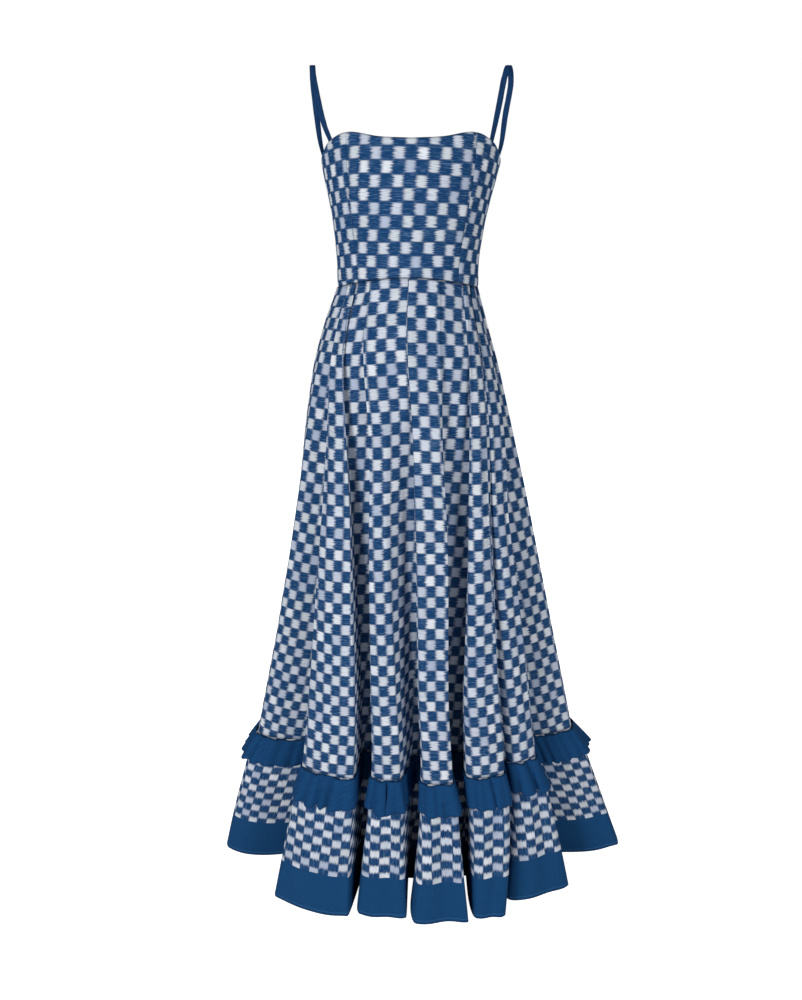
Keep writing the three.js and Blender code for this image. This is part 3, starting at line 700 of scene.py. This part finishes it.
skirtPanels = {
    "skirtFront": {"node": "skirt_front", "start": -0.6, "end": 5.4,
                   "flat": (1.501, 0.879), "area": 0.8, "down": 2},
    "skirtBackRight": {"node": "skirt_back_right", "start": 5.4, "end": 8.5,
                       "flat": (0.602, 0.879), "area": 0.319, "down": 2},
    "skirtBackLeft": {"node": "skirt_back_left", "start": 8.5, "end": 11.4,
                      "flat": (0.537, 0.876), "area": 0.289, "down": 2},
}
rowShift = [0, 3, -4, 2, -3, 5, 0, 4, -2, 3, -5, 2]  # how far the rows of each lobe hang off level


# the pattern runs on from the crest of each lobe
def foldSections(places, down, shifts):
    sections = []
    for fold in range(math.floor(places[0]), math.ceil(places[-1])):
        sections.append({
            "start": columnNear(places, fold), "end": columnNear(places, fold + 1),
            "anchor": columnNear(places, fold + 0.5), "down": down + shifts[fold % foldCount],
        })
    return sections


def skirtPanel(name, sizes):
    start, end = sizes["start"], sizes["end"]
    columns, rows = round((end - start) * skirt["stepsPerFold"]), skirt["rows"]
    places = evenPlaces(start, end, columns, lambda place: skirtPoint(place, 0.7))

    def seamAt(i, j, acrossTo, downTo):
        toSide = min(acrossTo[i, j], acrossTo[columns, j] - acrossTo[i, j])
        return min(toSide + 0.6, downTo[i, j], downTo[i, rows] - downTo[i, j] + 0.4)

    def lift(along, share):
        place = places[round(along * columns)]
        drop = blendTo(dressForm["waistDrop"], dressForm["ruffleSeamDrop"], share)
        toWaist, toRuffle = share * skirt["panelTall"], (1 - share) * skirt["panelTall"]
        dip = dressForm["seamDip"] * (1 - smoothRise(toWaist, 0, skirt["seamDipReach"]))
        calm = smoothRise(toWaist, 0, skirt["calmWaist"]) * smoothRise(toRuffle, 0, skirt["calmHem"])
        woven = handWoven(Vector((place * skirt["unevenWidth"], 0, -drop)), skirt["uneven"])
        return -dip + (calm * woven - creaseDepth(skirtCreases, place, drop)) * crestRoom(place)

    piece = clothPiece(
        name, columns, rows, lambda along, share: skirtPoint(places[round(along * columns)], share),
        checkCotton, sections=foldSections(places, sizes["down"], rowShift), lift=lift, seamAt=seamAt,
    )
    finishCloth(piece, sizes)


for panelName, panelSizes in skirtPanels.items():
    skirtPanel(panelName, panelSizes)
print("skirt made")


# Flounce

flounce = {
    "rings": {
        "drop": [1178, 1232, 1307, 1386, 1465],
        "halfWidth": [320, 346, 374, 400, 425],
        "front": [179, 190, 199, 208, 215],
        "back": [193, 204, 214, 223, 230],
        "centre": [10, 14, 18, 23, 28],
    },
    "rows": 46,
    "gathersPerFold": 5,
    "gatherDepth": 3,
    "gatherFade": 0.8,  # how much of a gather is gone at the hem
    "calm": (1240, 1300),  # unevenness starts below the ruffle's hem
    "unevenWidth": 150,
    "unevenAt": 40,
    "uneven": 1.8,
    "panels": {
        "flounceFront": {"node": "flounce_front", "start": -0.6, "end": 5.4, "stepsPerFold": 50,
                         "flat": (1.969, 0.311), "area": 0.501},
        "flounceBack": {"node": "flounce_back", "start": 5.4, "end": 11.4, "stepsPerFold": 40,
                        "flat": (1.539, 0.311), "area": 0.389},
    },
    # soft dents and ridges of the lobes, as on the skirt
    "creases": [
        (2.5, 0.16, 11, 1240, 1600), (0.36, 0.09, 4, 1240, 1600), (0.62, 0.08, 5, 1240, 1600),
        (1.5, 0.1, 4, 1260, 1600), (3.45, 0.09, 4, 1240, 1600), (4.5, 0.1, 5, 1240, 1600),
        (-0.3, 0.08, 4, 1240, 1600), (5.3, 0.08, 4, 1240, 1600), (6.5, 0.12, 6, 1240, 1600),
        (7.4, 0.1, 4, 1240, 1600), (8.55, 0.12, 6, 1240, 1600), (9.5, 0.1, 5, 1240, 1600),
        (10.45, 0.1, 6, 1240, 1600), (11.3, 0.08, 4, 1240, 1600),
    ],
}


def flouncePoint(place, down):
    drop = blendTo(dressForm["ruffleSeamDrop"] + dressForm["seamGap"], dressForm["hemDrop"], down)
    outward = ovalPoint(flounce["rings"], foldAngle(place, 1), drop)[1]
    fade = (1 - down * flounce["gatherFade"]) * crestRoom(place)
    wave = math.cos(2 * math.pi * place * flounce["gathersPerFold"])
    return foldedPoint(flounce["rings"], place, drop) + outward * flounce["gatherDepth"] * fade * (wave - 1)


def flouncePanel(name, sizes):
    start, end = sizes["start"], sizes["end"]
    columns, rows = round((end - start) * sizes["stepsPerFold"]), flounce["rows"]
    places = evenPlaces(start, end, columns, lambda place: flouncePoint(place, 1))
    tall = dressForm["hemDrop"] - dressForm["ruffleSeamDrop"]

    def seamAt(i, j, acrossTo, downTo):
        toSide = min(acrossTo[i, j], acrossTo[columns, j] - acrossTo[i, j])
        return min(toSide + 0.6, downTo[i, rows] - downTo[i, j] + 0.5)

    def lift(along, share):
        place = places[round(along * columns)]
        drop = dressForm["ruffleSeamDrop"] + tall * share
        calm = smoothRise(drop, *flounce["calm"])
        where = Vector((place * flounce["unevenWidth"], flounce["unevenAt"], -drop))
        woven = handWoven(where, flounce["uneven"])
        return (calm * woven - creaseDepth(flounce["creases"], place, drop)) * crestRoom(place)

    piece = clothPiece(
        name, columns, rows, lambda along, share: flouncePoint(places[round(along * columns)], share),
        borderedCotton, sections=foldSections(places, 0, [0] * foldCount), lift=lift, seamAt=seamAt,
        fromHem=True,
    )
    finishCloth(piece, sizes)


for panelName, panelSizes in flounce["panels"].items():
    flouncePanel(panelName, panelSizes)
print("flounce made")


# Ruffle

ruffle = {
    "height": 54,
    "rows": 12,
    "gatherPitch": 21,
    # how the gathers stray from an even pitch: how far, over what length along the seam, and a shift
    "gatherDrift": [(6, 37, 0), (3, 15, 1)],
    "waveDrift": (0.8, 0.4, 53, 2),  # their mean size, its change, over what length, and a shift
    "topWave": 4,
    "hemWave": 13,
    "scallop": 1,
    "flare": 7,
    "openFold": 5,  # the fold whose side lies open at the right, as the last one does at the left
    "clear": 0.5,
    "stepsPerFold": 110,
    "panels": {
        "ruffleFront": {"node": "ruffle_front", "start": -0.6, "end": 5.4,
                        "flat": (2.062, 0.067), "area": 0.1036},
        "ruffleBack": {"node": "ruffle_back", "start": 5.4, "end": 11.4,
                       "flat": (1.706, 0.068), "area": 0.0843},
    },
}


def rufflePoint(place, down):
    flounceShare = ruffle["height"] * down / (dressForm["hemDrop"] - dressForm["ruffleSeamDrop"])
    return flouncePoint(place, flounceShare)


# the two wide sides of the front, which lie open, have room for gathers too
def openSide(place):
    part = place - math.floor(place)
    if math.floor(place) % foldCount == ruffle["openFold"]:
        return smoothRise(part, skirt["bottomPart"], skirt["spreadFrom"])
    if math.floor(place) % foldCount == foldCount - 1:
        return 1 - smoothRise(part, skirt["spreadTo"], skirt["sunkAt"])
    return 0


# how far the ruffle stands out in its gathers, from none in a crease to one on a ridge, by the way
# along the seam
def gatherAt(run):
    uneven = run + sum(far * math.sin(run / length + shift) for far, length, shift in ruffle["gatherDrift"])
    return abs(math.sin(math.pi * uneven / ruffle["gatherPitch"]))


def ruffleLift(place, run, down):
    mean, change, length, shift = ruffle["waveDrift"]
    hemWave = ruffle["hemWave"] * (mean + change * math.sin(run / length + shift))
    stand = blendTo(ruffle["topWave"], hemWave, down) * gatherAt(run) + ruffle["flare"] * down
    return dressForm["wall"] + ruffle["clear"] + stand * max(crestRoom(place), openSide(place))


def rufflePanel(name, sizes):
    start, end = sizes["start"], sizes["end"]
    columns, rows = round((end - start) * ruffle["stepsPerFold"]), ruffle["rows"]
    places = evenPlaces(start, end, columns, lambda place: rufflePoint(place, 0))
    reach = 1 / ruffle["stepsPerFold"] / 2
    runs = [0]
    for place, after in zip(places, places[1:]):
        runs.append(runs[-1] + (rufflePoint(after, 0) - rufflePoint(place, 0)).length)

    def pointAt(along, share):
        column = round(along * columns)
        place, run = places[column], runs[column]
        chord = rufflePoint(place + reach, share) - rufflePoint(place - reach, share)
        outward = Vector((chord.y, -chord.x, 0)).normalized()
        hang = Vector((0, 0, -ruffle["scallop"] * gatherAt(run) ** 2 * share))
        return rufflePoint(place, share) + outward * ruffleLift(place, run, share) + hang

    def seamAt(i, j, acrossTo, downTo):
        return min(downTo[i, j], downTo[i, rows] - downTo[i, j] + 0.6)

    piece = clothPiece(name, columns, rows, pointAt, blueCotton, seamAt=seamAt)
    finishCloth(piece, sizes)


for panelName, panelSizes in ruffle["panels"].items():
    rufflePanel(panelName, panelSizes)
print("ruffle made")


# Straps

straps = {
    "width": 9,
    "thickness": 2.4,
    "wall": 0.5,
    "clear": 0.8,
    "sewn": 12,
    "frontAngle": 58,
    "backAngle": 101,
    "rows": 96,
    "round": 12,
    "step": 0.004,
    "fullness": 0.7,  # one is a plain oval, less is squarer
    "panels": {
        "strapLeft": {
            "node": "strap_left", "side": -1, "flat": (0.022, 0.306), "area": 0.0061,
            "run": [(-145, 24, 106), (-150, 25, 64), (-153, 16, 20), (-151, -2, -1), (-148, -18, 18),
                    (-139, -34, 60), (-131, -45, 88)],
        },
        "strapRight": {
            "node": "strap_right", "side": 1, "flat": (0.022, 0.306), "area": 0.0061,
            "run": [(145, 24, 106), (150, 25, 64), (156, 16, 20), (150, -2, -1), (142, -18, 18),
                    (134, -34, 56), (127, -45, 88)],
        },
    },
}


def strapSeat(angle, below):
    point, outward = ovalPoint(bodice["rings"], angle, topEdgeDrop(angle) + below)
    return point - outward * (dressForm["wall"] + straps["clear"] + straps["thickness"] / 2)


# smooth line through the points
def lineThrough(points, share):
    at = share * (len(points) - 1)
    k = min(int(at), len(points) - 2)
    t = at - k
    before, a, b, after = (points[min(max(k + d, 0), len(points) - 1)] for d in (-1, 0, 1, 2))
    inSlope, outSlope = (b - before) / 2, (after - a) / 2
    return (a * (2 * t**3 - 3 * t**2 + 1) + b * (3 * t**2 - 2 * t**3)
            + inSlope * (t**3 - 2 * t**2 + t) + outSlope * (t**3 - t**2))


def strapPiece(name, sizes):
    side, rows, roundSteps = sizes["side"], straps["rows"], straps["round"]
    frontAngle, backAngle = side * straps["frontAngle"], side * straps["backAngle"]
    path = [strapSeat(backAngle, straps["sewn"]), strapSeat(backAngle, 0)]
    path += [Vector((x, y, -drop)) for x, y, drop in sizes["run"]]
    path += [strapSeat(frontAngle, 0), strapSeat(frontAngle, straps["sewn"])]
    outFront = ovalPoint(bodice["rings"], frontAngle, topEdgeDrop(frontAngle))[1]
    outBack = ovalPoint(bodice["rings"], backAngle, topEdgeDrop(backAngle))[1]
    frontWay, backWay = Vector((-outFront.y, outFront.x, 0)), Vector((outBack.y, -outBack.x, 0))

    def pointAt(along, share):
        centre = lineThrough(path, share)
        after, before = min(share + straps["step"], 1), max(share - straps["step"], 0)
        tangent = (lineThrough(path, after) - lineThrough(path, before)).normalized()
        end = backWay if share < 0.5 else frontWay
        width = Vector((1, 0, 0)).lerp(end, smoothRise(abs(share - 0.5) * 2, 0.25, 0.85))
        width = (width - tangent * width.dot(tangent)).normalized()
        out = tangent.cross(width)
        turn = 2 * math.pi * along
        flat = math.copysign(abs(math.cos(turn)) ** straps["fullness"], math.cos(turn))
        high = math.copysign(abs(math.sin(turn)) ** straps["fullness"], math.sin(turn))
        uneven = 1 + 0.05 * noise.noise(Vector((share * 30, side * 5, 0)))
        return centre + width * flat * straps["width"] / 2 * uneven + out * high * straps["thickness"] / 2

    # painted shade along the strap's two folded sides, which are treated as seams
    def seamAt(i, j, acrossTo, downTo):
        turn = 2 * math.pi * i / roundSteps
        return abs(math.sin(turn)) * 5

    piece = clothPiece(name, roundSteps, rows, pointAt, strapCotton, seamAt=seamAt, wall=straps["wall"])
    bm = bmesh.new()  # the strip is sewn into a tube
    bm.from_mesh(piece.data)
    bmesh.ops.remove_doubles(bm, verts=bm.verts, dist=0.01 * mm)
    bmesh.ops.recalc_face_normals(bm, faces=bm.faces)
    bm.to_mesh(piece.data)
    bm.free()
    finishCloth(piece, sizes)


for panelName, panelSizes in straps["panels"].items():
    strapPiece(panelName, panelSizes)
print("straps made")


# Zip

zipSizes = {
    "node": "zip_tape",
    "length": 375,
    "tapeWidth": 14,
    "tapeWall": 1.0,
    "clear": 0.6,
    "topInset": 5,
    "seat": 0.4,
    "ridge": 0.35,  # the closed teeth behind the seam, as one fine ridge
    "ridgeHalf": 1.6,
    "toothPitch": 2.5,
    "place": 8.5,  # the back seam, in folds
    "flat": (0.0145, 0.38),
    "area": 0.0055,
}


def zipTapePiece():
    top = topEdgeDrop(180) + zipSizes["topInset"]
    columns, rows = 8, 90

    def pointAt(along, share):
        drop = top + zipSizes["length"] * share
        if drop < dressForm["waistDrop"]:
            point = ovalPoint(bodice["rings"], 180, drop)[0]
        else:
            point = foldedPoint(skirt["rings"], zipSizes["place"], drop + dressForm["seamGap"])
        x = (0.5 - along) * zipSizes["tapeWidth"]
        tooth = zipSizes["ridge"] * math.exp(-(x / zipSizes["ridgeHalf"]) ** 2)
        tooth *= 1 if int(drop / zipSizes["toothPitch"]) % 2 else 0.4
        return point + Vector((x, -dressForm["wall"] - zipSizes["clear"] - zipSizes["seat"] + tooth, 0))

    piece = clothPiece("zipTape", columns, rows, pointAt, blueCotton, wall=zipSizes["tapeWall"])
    finishCloth(piece, zipSizes)


zipTapePiece()
for nodeName in ("zip_slider", "zip_pull_tab"):
    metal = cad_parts[nodeName]
    metal.data.materials.clear()
    metal.data.materials.append(zipZinc)
print("zip made")


# Stage, light and camera

studio = {
    "floorDrop": 1468,
    "floorSize": 9,
    "floorColour": "#f6f6f6",
    "worldLight": 0.03,
    "lookAt": (0, 0, -0.75),
    "lights": {  # place, size and power; the last is for the side away from the camera
        "key": ((-2.5, -3.1, 0.5), 1.3, 107),
        "fill": ((2.6, -2.7, 0.3), 1.3, 56),
        "back": ((0.9, 3.2, 0.3), 1.6, 50),
    },
}


def makeFloor():
    bm = bmesh.new()
    bmesh.ops.create_grid(bm, x_segments=1, y_segments=1, size=studio["floorSize"])
    bmesh.ops.translate(bm, vec=(0, 0, -studio["floorDrop"] * mm), verts=bm.verts)
    mesh = bpy.data.meshes.new("floor")
    bm.to_mesh(mesh)
    bm.free()
    floor = bpy.data.objects.new("floor", mesh)
    bpy.context.scene.collection.objects.link(floor)
    material, tree, shader = newMaterial("paintedBoard", 0.8)  # matte and pale, so shadows stay soft
    shader.inputs["Base Color"].default_value = linearColour(studio["floorColour"])
    shader.inputs["Emission Color"].default_value = (1, 1, 1, 1)
    # looks lit, yet throws no light up the folds
    tree.links.new(addNode(tree, "LightPath").outputs["Is Camera Ray"], shader.inputs["Emission Strength"])
    mesh.materials.append(material)


def areaLight(name, place, size, power):
    light = bpy.data.lights.new(name, "AREA")
    light.energy, light.size = power, size
    lamp = bpy.data.objects.new(name, light)
    lamp.location = place
    lamp.rotation_euler = (Vector(studio["lookAt"]) - Vector(place)).to_track_quat("-Z", "Y").to_euler()
    bpy.context.scene.collection.objects.link(lamp)


def makeWorld():
    world = bpy.data.worlds.new("studio")
    world.use_nodes = True
    tree = world.node_tree
    room = tree.nodes["Background"]
    room.inputs[0].default_value = (0.93, 0.96, 1, 1)
    room.inputs[1].default_value = studio["worldLight"]
    seen = addNode(tree, "Background", ["#ffffff", 1.0])
    path = addNode(tree, "LightPath")
    mixed = addNode(tree, "MixShader", [path.outputs["Is Camera Ray"], room, seen])
    tree.links.new(mixed.outputs[0], tree.nodes["World Output"].inputs[0])
    bpy.context.scene.world = world


makeFloor()
for lightName, (place, size, power) in studio["lights"].items():
    areaLight(lightName, place, size, power)
makeWorld()

# seen from chest height, looking a little down, as the photograph was taken
cameraSizes = {"place": (0, -1.315, -0.2716), "tilt": 18, "lens": 27.36, "shift": -0.010}
lens = bpy.data.cameras.new("camera")
lens.lens, lens.sensor_width, lens.shift_x = cameraSizes["lens"], 36, cameraSizes["shift"]
camera = bpy.data.objects.new("camera", lens)
camera.location = cameraSizes["place"]
camera.rotation_euler = (math.radians(90 - cameraSizes["tilt"]), 0, 0)
bpy.context.scene.collection.objects.link(camera)
bpy.context.scene.camera = camera
bpy.context.scene.view_settings.view_transform = "Standard"
print("stage, light and camera made")
